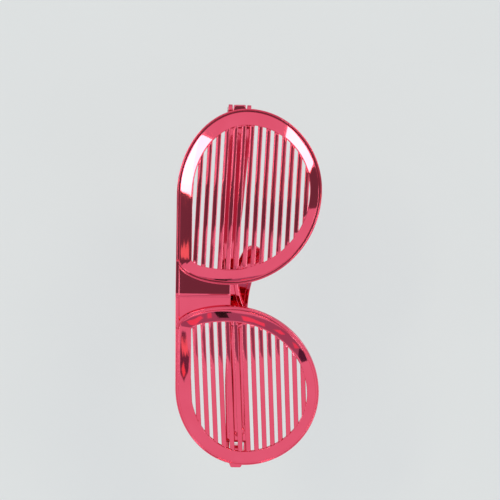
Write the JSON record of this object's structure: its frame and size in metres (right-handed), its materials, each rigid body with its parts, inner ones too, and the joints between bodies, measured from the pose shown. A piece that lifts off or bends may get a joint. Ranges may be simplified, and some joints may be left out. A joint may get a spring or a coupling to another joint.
{
  "type": "shutter glasses",
  "caption": "Oversized party glasses with slatted, lens-less rims, a bent front, and temples that fold one over the other on pinned hinges.",
  "frame": {"origin": "middle of the folded glasses at the surface they rest on, midway between the hinges and under the middle of the bridge", "axes": "+X along the width towards the wearer's left hinge, +Y towards the brow, +Z out of the front; the glasses lie face up on their folded temples"},
  "size_m": [0.2538, 0.0988, 0.0429],
  "materials": {
    "metallized_plastic": "pink mirror-bright metallized coating on moulded plastic",
    "pin_steel": "plain steel"
  },
  "bodies": {
    "front": {"front_frame": "metallized_plastic"},
    "left_temple_assembly": {"left_temple": "metallized_plastic", "left_hinge_pin": "pin_steel"},
    "right_temple_assembly": {"right_temple": "metallized_plastic", "right_hinge_pin": "pin_steel"}
  },
  "joints": [
    {"name": "left_temple_hinge", "type": "hinge", "parent": "front", "child": "left_temple_assembly", "pos_m": [0.12204, 0.0073, 0.004], "axis": [-0.0349, -0.9994, 0], "range_deg": [0, 93]},
    {"name": "right_temple_hinge", "type": "hinge", "parent": "front", "child": "right_temple_assembly", "pos_m": [-0.12204, 0.0073, 0.004], "axis": [0.0349, 0.9994, 0], "range_deg": [0, 90]}
  ]
}
